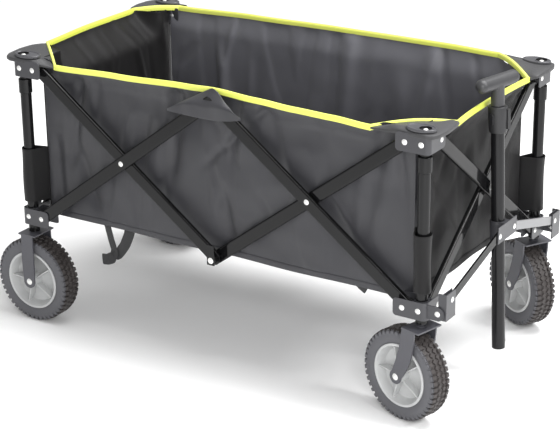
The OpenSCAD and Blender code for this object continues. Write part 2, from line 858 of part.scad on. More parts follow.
// one half of the floor, a stiffened cloth panel
module bag_floor(side) {
    edge = wall_y - cloth_t - 0.5;
    half = wall_x - cloth_t - 1;
    color(cloth)
        mirror([0, side < 0 ? 1 : 0, 0])
            translate([-half, 0.5, bag_floor_z]) cube([2 * half, edge - 0.5, floor_t]);
}

lower_post(RR);  // lower_post_rr
lower_post(FR);  // lower_post_fr
lower_post(RL);  // lower_post_rl
lower_post(FL);  // lower_post_fl
lower_bracket(RR, 0, 1);  // lower_bracket_rr
lower_bracket(FR, 1, 1);  // lower_bracket_fr
lower_bracket(RL, 0, 0);  // lower_bracket_rl
lower_bracket(FL, 1, 0);  // lower_bracket_fl
upper_post(RR);  // upper_post_rr
upper_post(FR);  // upper_post_fr
upper_post(RL);  // upper_post_rl
upper_post(FL);  // upper_post_fl
head_bracket(RR, 1, 0);  // head_bracket_rr
head_bracket(FR, 2, 0);  // head_bracket_fr
head_bracket(RL, 1, 1);  // head_bracket_rl
head_bracket(FL, 2, 1);  // head_bracket_fl
corner_cap(RR);  // corner_cap_rr
corner_cap(FR);  // corner_cap_fr
corner_cap(RL);  // corner_cap_rl
corner_cap(FL);  // corner_cap_fl
fork(RR);  // fork_rr
fork(FR);  // fork_fr
fork(RL);  // fork_rl
fork(FL);  // fork_fl
rim(RR);  // rim_rr
rim(FR);  // rim_fr
rim(RL);  // rim_rl
rim(FL);  // rim_fl
tyre(RR);  // tyre_rr
tyre(FR);  // tyre_fr
tyre(RL);  // tyre_rl
tyre(FL);  // tyre_fl
bar_rear_low(-1);  // right_bar_rear_low
bar_rear_high(-1);  // right_bar_rear_high
bar_front_low(-1);  // right_bar_front_low
bar_front_high(-1);  // right_bar_front_high
bar_rear_low(1);  // left_bar_rear_low
bar_rear_high(1);  // left_bar_rear_high
bar_front_low(1);  // left_bar_front_low
bar_front_high(1);  // left_bar_front_high
end_bar_high(1);  // front_bar_right_high
end_bar_low(1);  // front_bar_right_low
end_bar_high(-1);  // rear_bar_right_high
end_bar_low(-1);  // rear_bar_right_low
swivel_bracket(-1);  // swivel_bracket_right
swivel_bracket(1);  // swivel_bracket_left
strut(-1);  // strut_right
strut(1);  // strut_left
handle_hub();
handle_tube();
handle_collar();
release_button();
inner_tube();
grip();
side_wall(-1);  // bag_wall_right
end_wall(1);  // bag_wall_front
side_wall(1);  // bag_wall_left
end_wall(-1);  // bag_wall_rear
bag_floor(-1);  // bag_floor_right
bag_floor(1);  // bag_floor_left
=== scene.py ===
# Folding camp wagon: scissor-bar frame on telescoping posts, charcoal cloth bag, pull handle, four wheels.
import json
import math
import random
import bmesh
import bpy
from mathutils import Matrix, Vector

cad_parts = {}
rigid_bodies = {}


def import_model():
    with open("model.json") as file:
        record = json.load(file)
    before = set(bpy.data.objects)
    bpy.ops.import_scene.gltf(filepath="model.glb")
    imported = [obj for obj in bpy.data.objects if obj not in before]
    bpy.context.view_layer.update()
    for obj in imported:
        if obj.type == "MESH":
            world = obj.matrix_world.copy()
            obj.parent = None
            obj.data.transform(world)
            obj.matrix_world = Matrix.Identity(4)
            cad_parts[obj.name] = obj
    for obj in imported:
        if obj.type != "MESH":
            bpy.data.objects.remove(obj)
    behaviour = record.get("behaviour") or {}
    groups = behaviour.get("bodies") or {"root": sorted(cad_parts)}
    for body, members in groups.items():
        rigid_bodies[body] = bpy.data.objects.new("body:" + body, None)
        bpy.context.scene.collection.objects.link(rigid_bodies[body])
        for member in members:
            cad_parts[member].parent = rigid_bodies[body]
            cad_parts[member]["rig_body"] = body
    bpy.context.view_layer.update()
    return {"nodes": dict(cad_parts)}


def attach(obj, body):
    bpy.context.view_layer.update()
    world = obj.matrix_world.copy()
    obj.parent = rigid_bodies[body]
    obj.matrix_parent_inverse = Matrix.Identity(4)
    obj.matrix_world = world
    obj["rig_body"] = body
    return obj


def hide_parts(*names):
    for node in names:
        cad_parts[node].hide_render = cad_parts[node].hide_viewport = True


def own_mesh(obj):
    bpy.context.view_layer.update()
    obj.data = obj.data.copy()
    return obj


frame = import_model()

# ---- Studio ----
# A plain pale floor and a pale room, with a broad lamp overhead, one beside the front right corner of the
# wagon and a low fill. The camera stands where a person would look down on the wagon.
scene = bpy.context.scene
scene.view_settings.view_transform = "Standard"


def from_hex(code, alpha=1.0):
    """A screen colour, such as "3d3d40", as linear light."""
    values = [int(code[i:i + 2], 16) / 255 for i in (0, 2, 4)]
    return [v / 12.92 if v < 0.04045 else ((v + 0.055) / 1.055) ** 2.4 for v in values] + [alpha]


camera_data = bpy.data.cameras.new("camera")
camera_data.lens = 114.98
camera_data.sensor_width = 36.0
camera_data.clip_end = 50
camera = bpy.data.objects.new("camera", camera_data)
scene.collection.objects.link(camera)
yaw, pitch, roll = math.radians(-32.49), math.radians(21.58), math.radians(-0.57)
looking = Vector((math.cos(pitch) * math.sin(yaw), math.cos(pitch) * math.cos(yaw), -math.sin(pitch)))
camera.location = (1.7708, -2.7857, 1.5386)
camera.rotation_mode = "QUATERNION"
aim = looking.to_track_quat("-Z", "Y").to_matrix() @ Matrix.Rotation(roll, 3, "Z")
camera.rotation_quaternion = aim.to_quaternion()
scene.camera = camera

world = bpy.data.worlds.new("studio")
scene.world = world
world.use_nodes = True
world.node_tree.nodes["Background"].inputs["Color"].default_value = (1, 1, 1, 1)
world.node_tree.nodes["Background"].inputs["Strength"].default_value = 0.54


def lamp(name, place, target, size, power):
    """A square soft lamp that faces its target."""
    data = bpy.data.lights.new(name, "AREA")
    data.size = size
    data.energy = power
    light = bpy.data.objects.new(name, data)
    light.location = place
    light.rotation_euler = (Vector(target) - Vector(place)).to_track_quat("-Z", "Y").to_euler()
    scene.collection.objects.link(light)


lamp("overhead", (0.95, 0.60, 3.5), (0, 0, 0.3), 2.5, 185)
lamp("key", (1.35, -1.75, 1.15), (0.30, 0, 0.3), 0.8, 25)
lamp("side", (3.0, 0.2, 2.3), (0.1, 0, 0.4), 0.7, 46)
lamp("fill", (-2.2, -2.6, 1.6), (0, 0, 0.3), 1.2, 5)


def only(obj):
    """Nothing but this object is selected and active."""
    bpy.ops.object.select_all(action="DESELECT")
    obj.select_set(True)
    bpy.context.view_layer.objects.active = obj
    return obj


def named(name):
    obj = bpy.context.active_object
    obj.name = name
    obj.data.name = name
    return obj


def dress(obj, *materials):
    obj.data.materials.clear()
    for material in materials:
        obj.data.materials.append(material)


bpy.ops.object.select_all(action="DESELECT")
bpy.ops.mesh.primitive_plane_add(size=30, location=(0, 0, -0.0005))
floor = named("floor")
bpy.ops.object.transform_apply(location=True)
floor_paint = bpy.data.materials.new("floor_paint")
floor_paint.use_nodes = True
floor_paint.node_tree.nodes["Principled BSDF"].inputs["Base Color"].default_value = (0.97, 0.97, 0.97, 1)
floor_paint.node_tree.nodes["Principled BSDF"].inputs["Roughness"].default_value = 0.9
dress(floor, floor_paint)

# ---- Posts ----
# Each post is a black steel tube that slides in another, with a moulded collar at the top of the lower one.
# The front ones carry the caster stems in nylon bushes. The tubes are powder-coated a satin black.


def blotched(name, dark, light, rough, grain, bump, metallic=0.0, blotch=9.0, coat=0.0, depth=0.0004,
             specular=0.5):
    """A finish that varies a little in colour and gloss, with a fine grain of the given scale."""
    material = bpy.data.materials.new(name)
    material.use_nodes = True
    nodes, links = material.node_tree.nodes, material.node_tree.links
    shader = nodes["Principled BSDF"]
    shader.inputs["Metallic"].default_value = metallic
    shader.inputs["Specular IOR Level"].default_value = specular
    shader.inputs["Coat Weight"].default_value = coat
    shader.inputs["Coat Roughness"].default_value = 0.07
    place = nodes.new("ShaderNodeTexCoord")
    cloud = nodes.new("ShaderNodeTexNoise")
    cloud.inputs["Scale"].default_value = blotch
    cloud.inputs["Detail"].default_value = 4
    fine = nodes.new("ShaderNodeTexNoise")
    fine.inputs["Scale"].default_value = grain
    fine.inputs["Detail"].default_value = 3
    mix = nodes.new("ShaderNodeMix")
    mix.data_type = "RGBA"
    mix.inputs["A"].default_value = dark
    mix.inputs["B"].default_value = light
    span = nodes.new("ShaderNodeMapRange")
    span.inputs["From Min"].default_value = 0.3
    span.inputs["From Max"].default_value = 0.7
    span.inputs["To Min"].default_value = rough - 0.07
    span.inputs["To Max"].default_value = rough + 0.07
    relief = nodes.new("ShaderNodeBump")
    relief.inputs["Strength"].default_value = bump
    relief.inputs["Distance"].default_value = depth
    links.new(place.outputs["Object"], cloud.inputs["Vector"])
    links.new(place.outputs["Object"], fine.inputs["Vector"])
    links.new(cloud.outputs["Fac"], mix.inputs["Factor"])
    links.new(mix.outputs["Result"], shader.inputs["Base Color"])
    links.new(cloud.outputs["Fac"], span.inputs["Value"])
    links.new(span.outputs["Result"], shader.inputs["Roughness"])
    links.new(fine.outputs["Fac"], relief.inputs["Height"])
    links.new(relief.outputs["Normal"], shader.inputs["Normal"])
    return material


def finished(node, round_edge, *materials, pins=None, slot=None, angle=32):
    """A finished copy of a CAD node: merged, its edges rounded, the rivets on its pins in the second material."""
    source = frame["nodes"][node]
    obj = bpy.data.objects.new(node + "_piece", source.data.copy())
    scene.collection.objects.link(obj)
    only(obj)
    dress(obj, *materials)
    bpy.ops.object.mode_set(mode="EDIT")
    bpy.ops.mesh.select_all(action="SELECT")
    bpy.ops.mesh.remove_doubles(threshold=0.00001)
    bpy.ops.mesh.dissolve_limited(angle_limit=math.radians(0.3))
    bpy.ops.object.mode_set(mode="OBJECT")
    for face in obj.data.polygons:
        reach = reach_from_pins([obj.data.vertices[i].co for i in face.vertices], pins or [])
        if reach < 0.0092:
            face.material_index = 1 if reach < 0.0061 or len(materials) < 3 else 2
    if round_edge:
        bevel = obj.modifiers.new("edge", "BEVEL")
        bevel.width = round_edge
        bevel.segments = 2
        bevel.angle_limit = math.radians(50)
        bpy.ops.object.modifier_apply(modifier="edge")
    bpy.ops.object.shade_smooth_by_angle(angle=math.radians(angle))
    flat = obj.modifiers.new("flat", "WEIGHTED_NORMAL")
    flat.keep_sharp = True
    bpy.ops.object.modifier_apply(modifier="flat")
    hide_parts(node)
    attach(obj, source["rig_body"])
    return obj


def reach_from_pins(points, pins):
    """How far these points reach from the nearest pin, a line through a place in a direction; far if past its head."""
    best = 1.0
    for place, way, radius in pins:
        reach = max((point - Vector(place)).cross(Vector(way)).length for point in points)
        if reach < radius:
            best = min(best, reach)
    return best


side_pins = [((x, 0, z), (0, 1, 0), 0.0083) for z in (0.224, 0.533) for x in (-0.440, -0.408, 0, 0.408, 0.440)]
side_pins += [((x, 0, 0.3785), (0, 1, 0), 0.0055) for x in (-0.204, 0.204)] + [((0.475, 0, 0.224), (0, 1, 0), 0.0055)]
end_pins = [((0, y, z), (1, 0, 0), 0.0075) for z in (0.224, 0.533) for y in (-0.204, 0.204)]
end_pins += [((0, 0, 0.3785), (1, 0, 0), 0.0055)]
end_pins += [((0, y, z), (1, 0, 0), 0.0055) for y, z in ((-0.03, 0.2996), (0.03, 0.2996), (-0.217, 0.2465), (0.217, 0.2465))]
tube_black = blotched("tube_black", from_hex("0e0e0f"), from_hex("151516"), 0.45, 900, 0.01, coat=0.45, specular=0.03)
collar_black = blotched("collar_black", from_hex("1d1d1f"), from_hex("262628"), 0.5, 1400, 0.12)
rivet_zinc = blotched("rivet_zinc", from_hex("e2e2e0"), from_hex("f8f8f6"), 0.42, 2200, 0.1, metallic=0.75, blotch=60)
corners = {"rr": (-0.44, -0.234), "fr": (0.44, -0.234), "rl": (-0.44, 0.234), "fl": (0.44, 0.234)}
for corner in corners:
    finished("lower_post_" + corner, 0, tube_black, slot="post_paint")
    finished("upper_post_" + corner, 0, tube_black, slot="post_paint")

# ---- Brackets ----
# Brackets of 2 mm steel, pressed round the corner and painted a dark satin grey. Zinc-plated rivets hold the
# bars between their outer and inner plates, and nylon spacers fill the room that a bar leaves.
bracket_grey = blotched("bracket_grey", from_hex("333336"), from_hex("3f3f43"), 0.4, 1000, 0.08, coat=0.1, specular=0.4)
nylon = blotched("nylon", from_hex("1f1f20"), from_hex("272728"), 0.55, 800, 0.06, specular=0.3)
for corner in corners:
    for kind in ("lower_bracket_", "head_bracket_"):
        finished(kind + corner, 0.0005, bracket_grey, rivet_zinc, nylon, pins=side_pins + end_pins, slot="bracket_paint")

# ---- Scissor bars ----
# Flat-sided steel tubes, 25 by 10 mm with rounded edges, in a black gloss powder coat. They turn on zinc-plated
# rivets, each fixed in the outer bar of a crossing.
bar_black = blotched("bar_black", from_hex("0b0b0c"), from_hex("111112"), 0.5, 900, 0.01, coat=0.5, specular=0.02)
side_bars = ("rear_low", "rear_high", "front_low", "front_high")
bars = [f"{side}_bar_{bar}" for side in ("right", "left") for bar in side_bars]
bars += [f"{end}_bar_{way}" for end in ("front", "rear") for way in ("right_high", "right_low")]
for bar in bars:
    bar_pins = side_pins if bar.startswith(("right", "left")) else end_pins
    finished(bar, 0, bar_black, rivet_zinc, bar_black, pins=bar_pins, slot="bar_paint")

# ---- Forks ----
# Steel forks bent from 3 mm strip, straight at the rear and swept back at the front, painted satin grey.
# The axle bolts have zinc-plated round heads.
fork_grey = blotched("fork_grey", from_hex("3c3c42"), from_hex("49494f"), 0.42, 1000, 0.08, coat=0.1)
wheel_r = 0.0875
turns = {"rr": 0, "fr": -15, "rl": 0, "fl": -31}
backs = {"rr": -0.003, "fr": 0.034, "rl": -0.003, "fl": 0.034}


def wheel_place(corner):
    x, y = corners[corner]
    stem = Matrix.Translation((x, y, 0)) @ Matrix.Rotation(math.radians(turns[corner]), 4, "Z")
    return stem @ Matrix.Translation((-backs[corner], 0, wheel_r))


for corner in corners:
    axle = wheel_place(corner)
    axle_pin = (axle.translation, axle.to_3x3() @ Vector((0, 1, 0)), 0.0072)
    finished("fork_" + corner, 0.0008, fork_grey, rivet_zinc, pins=[axle_pin], slot="fork_paint")

# ---- Rims ----
# One-piece moulded rims in silver-grey plastic: a thin outer ring, a deep dished disc and five ribs from the
# hub to the ring.


def turned(name, profile, segments):
    """A ring turned about the Y axis: a circle, extruded and scaled through each point (radius, along) of the profile."""
    r, y = profile[0]
    bpy.ops.object.select_all(action="DESELECT")
    bpy.ops.mesh.primitive_circle_add(vertices=segments, radius=r, location=(0, y, 0), rotation=(math.pi / 2, 0, 0))
    obj = named(name)
    bpy.ops.object.transform_apply(location=True, rotation=True)
    bpy.ops.object.mode_set(mode="EDIT")
    bpy.ops.mesh.select_all(action="SELECT")
    for r_next, y_next in profile[1:]:
        bpy.ops.mesh.extrude_region_move(TRANSFORM_OT_translate={"value": (0, y_next - y, 0)})
        bpy.ops.transform.resize(value=(r_next / r, 1, r_next / r), center_override=(0, y_next, 0))
        r, y = r_next, y_next
    bpy.ops.mesh.select_all(action="SELECT")
    bpy.ops.mesh.remove_doubles(threshold=0.00001)
    bpy.ops.mesh.normals_make_consistent(inside=False)
    bpy.ops.object.mode_set(mode="OBJECT")
    return obj


def joined(pieces, name):
    """These objects become one."""
    bpy.ops.object.select_all(action="DESELECT")
    for piece in pieces:
        piece.select_set(True)
    bpy.context.view_layer.objects.active = pieces[0]
    bpy.ops.object.join()
    return named(name)


def placed_copy(obj, name, matrix):
    """A copy with its own mesh, with the matrix worked into the mesh."""
    copy = obj.copy()
    copy.data = obj.data.copy()
    copy.data.transform(matrix)
    copy.name = name
    scene.collection.objects.link(copy)
    return copy


silver = blotched("rim_silver", from_hex("a6a7a7"), from_hex("bbbcbc"), 0.36, 1200, 0.05, blotch=14)
silver_ring = blotched("rim_ring", from_hex("c4c5c5"), from_hex("d6d6d6"), 0.3, 1200, 0.04, blotch=14)
rim_half = [(0.0043, 0.0265), (0.0120, 0.0265), (0.0130, 0.0255), (0.0140, 0.0060), (0.0190, 0.0040), (0.0440, 0.0035),
            (0.0485, 0.0050), (0.0520, 0.0120), (0.0548, 0.0200), (0.0560, 0.0216), (0.0592, 0.0219), (0.0604, 0.0210)]
rim_profile = rim_half + [(r, -y) for r, y in reversed(rim_half)] + rim_half[:1]
ring = turned("rim", rim_profile, 96)
for face in ring.data.polygons:
    middle = face.center
    face.material_index = 1 if math.hypot(middle.x, middle.z) > 0.0552 and abs(middle.y) > 0.0205 else 0
ribs = []
for k in range(5):
    bpy.ops.object.select_all(action="DESELECT")
    bpy.ops.mesh.primitive_cube_add(size=1, location=(0.0335, 0, 0))
    rib = named("rib")
    rib.scale = (0.0430, 0.0330, 0.0026)
    bpy.ops.object.transform_apply(location=True, scale=True)
    for vertex in rib.data.vertices:
        if vertex.co.x < 0.03:
            vertex.co.y *= 1.25
    rib.data.transform(Matrix.Rotation(math.radians(36 + 72 * k), 4, "Y"))
    soft = rib.modifiers.new("edge", "BEVEL")
    soft.width = 0.0006
    soft.segments = 2
    bpy.ops.object.modifier_apply(modifier="edge")
    ribs.append(rib)
wheel_rim = joined([ring] + ribs, "wheel_rim")
dress(wheel_rim, silver, silver_ring)
bpy.ops.object.shade_smooth_by_angle(angle=math.radians(30))
for corner in corners:
    rim = placed_copy(wheel_rim, "rim_piece_" + corner, wheel_place(corner))
    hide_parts("rim_" + corner)
    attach(rim, "wheel_" + corner)
bpy.data.objects.remove(wheel_rim)

# ---- Tyres ----
# Foam-filled rubber tyres with smooth sidewalls and a tread of small blocks: a row of shoulder lugs that
# notches each edge, and crossing rows of diamonds between them.
tyre_half = [(0.0608, 0.0195), (0.0650, 0.0214), (0.0700, 0.0222), (0.0770, 0.0220), (0.0812, 0.0205),
             (0.0830, 0.0170), (0.0838, 0.0100), (0.0842, 0.0)]
tyre_profile = tyre_half + [(r, -y) for r, y in reversed(tyre_half[:-1])] + tyre_half[:1]
carcass = turned("tyre", tyre_profile, 96)
lug_count = 46


def block(name, size, place, turn, taper):
    """A tread block on the top of the wheel, narrower at its top."""
    bpy.ops.object.select_all(action="DESELECT")
    bpy.ops.mesh.primitive_cube_add(size=1, location=(0, 0, 0))
    obj = named(name)
    obj.scale = size
    bpy.ops.object.transform_apply(scale=True)
    bpy.ops.object.mode_set(mode="EDIT")
    mesh = bmesh.from_edit_mesh(obj.data)
    bpy.ops.mesh.select_all(action="DESELECT")
    for face in mesh.faces:
        face.select = face.normal.z > 0.9
    bpy.ops.transform.resize(value=(taper, taper, 1), center_override=(0, 0, size[2] / 2))
    bpy.ops.object.mode_set(mode="OBJECT")
    obj.data.transform(Matrix.Translation(place) @ Matrix.Rotation(turn, 4, "X"))
    return obj


blocks = []
pitch_angle = 2 * math.pi / lug_count
shoulder = block("lug", (0.0082, 0.0090, 0.0060), (0, 0.0158, 0.0838), math.radians(-12), 0.82)
edge_lug = block("edge_lug", (0.0080, 0.0030, 0.0085), (0, 0.0208, 0.0800), math.radians(-8), 0.75)
diamond = block("diamond", (0.0078, 0.0078, 0.0036), (0, 0, 0), 0, 0.78)
diamond.data.transform(Matrix.Rotation(math.radians(45), 4, "Z"))
for k in range(lug_count):
    for side in (1, -1):
        spin = Matrix.Rotation(k * pitch_angle + (0 if side > 0 else pitch_angle / 2), 4, "Y")
        flip = Matrix.Diagonal((1, side, 1, 1))
        blocks.append(placed_copy(shoulder, "lug", spin @ flip))
        blocks.append(placed_copy(edge_lug, "lug", spin @ flip))
    for row, shift in ((-0.0056, 0.25), (0.0056, 0.75)):
        spin = Matrix.Rotation((k + shift) * pitch_angle, 4, "Y")
        blocks.append(placed_copy(diamond, "lug", spin @ Matrix.Translation((0, row, 0.0852))))
for pattern in (shoulder, edge_lug, diamond):
    bpy.data.objects.remove(pattern)
for piece in blocks:
    for face in piece.data.polygons:
        face.material_index = 1
wheel_tyre = joined([carcass] + blocks, "wheel_tyre")
bpy.ops.object.mode_set(mode="EDIT")
bpy.ops.mesh.select_all(action="SELECT")
bpy.ops.mesh.normals_make_consistent(inside=False)
bpy.ops.object.mode_set(mode="OBJECT")
side_rubber = blotched("side_rubber", from_hex("4b4b4f"), from_hex("5a5a5e"), 0.62, 1500, 0.1, blotch=20)
tread_rubber = blotched("tread_rubber", from_hex("2e2a29"), from_hex("3e3938"), 0.6, 900, 0.25, blotch=60)
dress(wheel_tyre, side_rubber, tread_rubber)
for face in wheel_tyre.data.polygons:
    if math.hypot(face.center.x, face.center.z) > 0.0822 and abs(face.center.y) < 0.0195:
        face.material_index = 1
bpy.ops.object.shade_smooth_by_angle(angle=math.radians(35))
for corner in corners:
    tyre = placed_copy(wheel_tyre, "tyre_piece_" + corner, wheel_place(corner))
    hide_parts("tyre_" + corner)
    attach(tyre, "wheel_" + corner)
bpy.data.objects.remove(wheel_tyre)

# ---- Pull frame ----
# Two swivel brackets on the front lower brackets carry a pair of flat struts, which meet at a hub round the
# handle's outer tube, so that the handle tilts and the frame still folds.
# Both struts have the black bar paint; the far (left) one is given a pale grey copy instead, painted light standing in
# for its bright lit edge.
far_strut_painted_light = blotched("far_strut_painted_light", from_hex("68686a"), from_hex("7a7a7c"), 0.35, 900, 0.06, coat=0.2)
for side in ("right", "left"):
    finished("swivel_bracket_" + side, 0.0005, bracket_grey, rivet_zinc, pins=side_pins + end_pins, slot="bracket_paint")
    # The left strut's pale grey is painted light.
    finished("strut_" + side, 0.0008, far_strut_painted_light if side == "left" else bar_black, slot="bar_paint")
finished("handle_hub", 0.0006, bracket_grey, rivet_zinc, pins=end_pins, slot="bracket_paint")

# ---- Handle ----
# A black steel tube that slides in the hub, a moulded clamp collar with an oval push button, a plated inner
# tube and a soft round-ended T grip.
handle_black = blotched("handle_black", from_hex("131314"), from_hex("1a1a1c"), 0.45, 900, 0.02, coat=0.4, specular=0.06)
lean = math.radians(2.4)
foot = Vector((0.472, 0, 0.2996)) - Vector((-math.sin(lean), 0, math.cos(lean))) * 0.223
grip_rubber = blotched("grip_rubber", from_hex("2d2d2f"), from_hex("38383a"), 0.45, 1800, 0.15)
button_grey = blotched("button_grey", from_hex("1b1b1d"), from_hex("232325"), 0.3, 1200, 0.05)
inner_steel = blotched("inner_steel", from_hex("9a9a9c"), from_hex("b4b4b6"), 0.25, 700, 0.08, metallic=1.0)
foot_pin = (foot, (math.cos(math.radians(40)), math.sin(math.radians(40)), 0), 0.0055)
finished("handle_tube", 0, handle_black, rivet_zinc, pins=[foot_pin], slot="post_paint")
finished("handle_collar", 0.0010, collar_black, slot="grip_plastic")
finished("release_button", 0.0008, button_grey, slot="button_plastic")
finished("inner_tube", 0, inner_steel, slot="inner_steel")
finished("grip", 0.0012, grip_rubber, slot="grip_plastic")

# ---- Corner caps ----
# Moulded oval caps in matt black plastic, screwed down through the corner gussets on to the four heads: a raised
# edge runs round each, and the screw sits in a round recess over the post.
cap_plastic = blotched("cap_plastic", from_hex("3c3c3f"), from_hex("49494d"), 0.36, 1600, 0.15)
# The round recess is the same moulded plastic as the cap, painted near black: painted shade in the hollow.
cap_recess_painted_shade = blotched("cap_recess_painted_shade", from_hex("0d0d0e"), from_hex("141415"), 0.5, 1600, 0.1, specular=0.2)
for corner, (px, py) in corners.items():
    sx, sy = math.copysign(1, px), math.copysign(1, py)
    bpy.ops.object.select_all(action="DESELECT")
    place = (px - sx * 0.009, py - sy * 0.002, 0.5567)
    bpy.ops.mesh.primitive_cylinder_add(vertices=64, radius=1, depth=0.0036, location=place)
    cap = named("corner_cap_piece_" + corner)
    cap.scale = (0.0285, 0.0180, 1)
    bpy.ops.object.transform_apply(location=True, scale=True)
    for thickness, depth in ((0.0012, 0.0010), (0.0014, 0.0), (0.0008, -0.0011)):
        bpy.ops.object.mode_set(mode="EDIT")
        bpy.ops.mesh.select_all(action="DESELECT")
        mesh = bmesh.from_edit_mesh(cap.data)
        top = max(mesh.faces, key=lambda face: face.calc_area() * max(face.normal.z, 0))
        top.select = True
        bpy.ops.mesh.inset(thickness=thickness, depth=depth)
        bpy.ops.object.mode_set(mode="OBJECT")
    for radius, low, high, cut in ((0.0135, 0.5580, 0.5592, "UNION"), (0.0112, 0.5562, 0.5620, "DIFFERENCE")):
        bpy.ops.object.select_all(action="DESELECT")
        place = (px, py, (low + high) / 2)
        bpy.ops.mesh.primitive_cylinder_add(vertices=40, radius=radius, depth=high - low, location=place)
        tool = named("recess")
        bpy.ops.object.transform_apply(location=True)
        only(cap)
        boolean = cap.modifiers.new("recess", "BOOLEAN")
        boolean.operation = cut
        boolean.object = tool
        boolean.solver = "EXACT"
        bpy.ops.object.modifier_apply(modifier="recess")
        bpy.data.objects.remove(tool)
    soft = cap.modifiers.new("edge", "BEVEL")
    soft.width = 0.0004
    soft.segments = 2
    soft.angle_limit = math.radians(40)
    bpy.ops.object.modifier_apply(modifier="edge")
    bpy.ops.object.select_all(action="DESELECT")
    bpy.ops.mesh.primitive_uv_sphere_add(segments=24, ring_count=12, radius=0.0046, location=(px, py, 0.5563))
    screw = named("screw")
    screw.scale = (1, 1, 0.45)
    bpy.ops.object.transform_apply(location=True, scale=True)
    dress(cap, cap_plastic, rivet_zinc, cap_recess_painted_shade)
    # Faces down in the recess round the screw take the near-black material, painted shade.
    spots = [vertex.co for vertex in cap.data.vertices]
    for face in cap.data.polygons:
        near = all(math.hypot(spots[i].x - px, spots[i].y - py) < 0.0115 for i in face.vertices)
        face.material_index = 2 if near and face.center.z < 0.5585 else 0
    dress(screw, cap_plastic, rivet_zinc, cap_recess_painted_shade)
    for face in screw.data.polygons:
        face.material_index = 1
    cap = joined([cap, screw], "corner_cap_piece_" + corner)
    bpy.ops.object.shade_smooth_by_angle(angle=math.radians(35))
    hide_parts("corner_cap_" + corner)
    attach(cap, "head_" + corner)

# ---- Bag walls ----
# The bag is sewn from charcoal coated canvas and hung from the rim: two long walls and two end walls that lean
# out to the rim between the corners, with soft upright folds and a turned hem below.
floor_z = 0.232
wall_x, wall_y = 0.4140, 0.2112
rim_y = 0.2232
front_rim_x, rear_rim_x = 0.4480, 0.4660
cuts = {"right": (0.326, 0.372), "left": (0.356, 0.395)}
fold_keep_x, fold_keep_y = 0.36, 0.385


def canvas(name, dark, light, across, up, bump=0.35, sheen=0.06, rough=0.5, specular=0.5, crumple=0.0):
    """Coated canvas: warp and weft along the two directions, a little uneven in colour."""
    material = blotched(name, dark, light, rough, 420, 0.12, blotch=7, specular=specular)
    nodes, links = material.node_tree.nodes, material.node_tree.links
    shader = nodes["Principled BSDF"]
    shader.inputs["Sheen Weight"].default_value = sheen
    shader.inputs["Sheen Roughness"].default_value = 0.6
    place = next(n for n in nodes if n.type == "TEX_COORD")
    old_bump = next(n for n in nodes if n.type == "BUMP")
    waves = []
    for direction in (across, up):
        along = nodes.new("ShaderNodeVectorMath")
        along.operation = "DOT_PRODUCT"
        along.inputs[1].default_value = direction
        wave = nodes.new("ShaderNodeMath")
        wave.operation = "SINE"
        scaled = nodes.new("ShaderNodeMath")
        scaled.operation = "MULTIPLY"
        scaled.inputs[1].default_value = 2 * math.pi / 0.0011
        links.new(place.outputs["Object"], along.inputs[0])
        links.new(along.outputs["Value"], scaled.inputs[0])
        links.new(scaled.outputs["Value"], wave.inputs[0])
        waves.append(wave)
    weave = nodes.new("ShaderNodeMath")
    weave.operation = "MULTIPLY"
    links.new(waves[0].outputs["Value"], weave.inputs[0])
    links.new(waves[1].outputs["Value"], weave.inputs[1])
    relief = nodes.new("ShaderNodeBump")
    relief.inputs["Strength"].default_value = bump
    relief.inputs["Distance"].default_value = 0.00015
    links.new(weave.outputs["Value"], relief.inputs["Height"])
    links.new(old_bump.outputs["Normal"], relief.inputs["Normal"])
    links.new(relief.outputs["Normal"], shader.inputs["Normal"])
    if crumple:
        creases = nodes.new("ShaderNodeTexNoise")
        creases.inputs["Scale"].default_value = 5.5
        creases.inputs["Detail"].default_value = 2
        creases.inputs["Roughness"].default_value = 0.55
        creases.inputs["Distortion"].default_value = 0.35
        soft = nodes.new("ShaderNodeBump")
        soft.inputs["Strength"].default_value = crumple
        soft.inputs["Distance"].default_value = 0.02
        links.new(place.outputs["Object"], creases.inputs["Vector"])
        links.new(creases.outputs["Fac"], soft.inputs["Height"])
        links.new(soft.outputs["Normal"], old_bump.inputs["Normal"])
    return material


def smooth(t):
    t = min(1.0, max(0.0, t))
    return t * t * (3 - 2 * t)


def along(x, points):
    """The value at x on a smooth line through points (x, value)."""
    if x <= points[0][0]:
        return points[0][1]
    for (x0, v0), (x1, v1) in zip(points, points[1:]):
        if x <= x1:
            return v0 + (v1 - v0) * smooth((x - x0) / (x1 - x0))
    return points[-1][1]


def folds(seed, low, high, count, height):
    """Soft folds: (place along the wall, lean, width, height of the ridge, top and bottom as shares of the wall)."""
    draw = random.Random(seed)
    rows = []
    for k in range(count):
        place = low + (high - low) * (k + draw.random()) / count
        start = draw.choice((0.0, 0.0, 0.25, 0.5))
        lean = draw.choice((1, 1, 1, 4)) * draw.uniform(-0.09, 0.09)
        width = draw.uniform(0.006, 0.022)
        ridge = draw.uniform(-1, 1) * height
        rows.append((place, lean, width, ridge, start, start + draw.uniform(0.4, 0.9)))
    return rows


def relief_of(rows, a, t):
    """How far the folds lift the cloth at a along the wall and share t down it."""
    lift = 0.0
    for place, lean, width, height, top, bottom in rows:
        if top - 0.1 < t < bottom + 0.1:
            off = (a - place - lean * (t - top)) / width
            fade = smooth((t - top + 0.1) / 0.2) * smooth((bottom + 0.1 - t) / 0.2)
            lift += height * fade * math.exp(-off * off)
    return lift


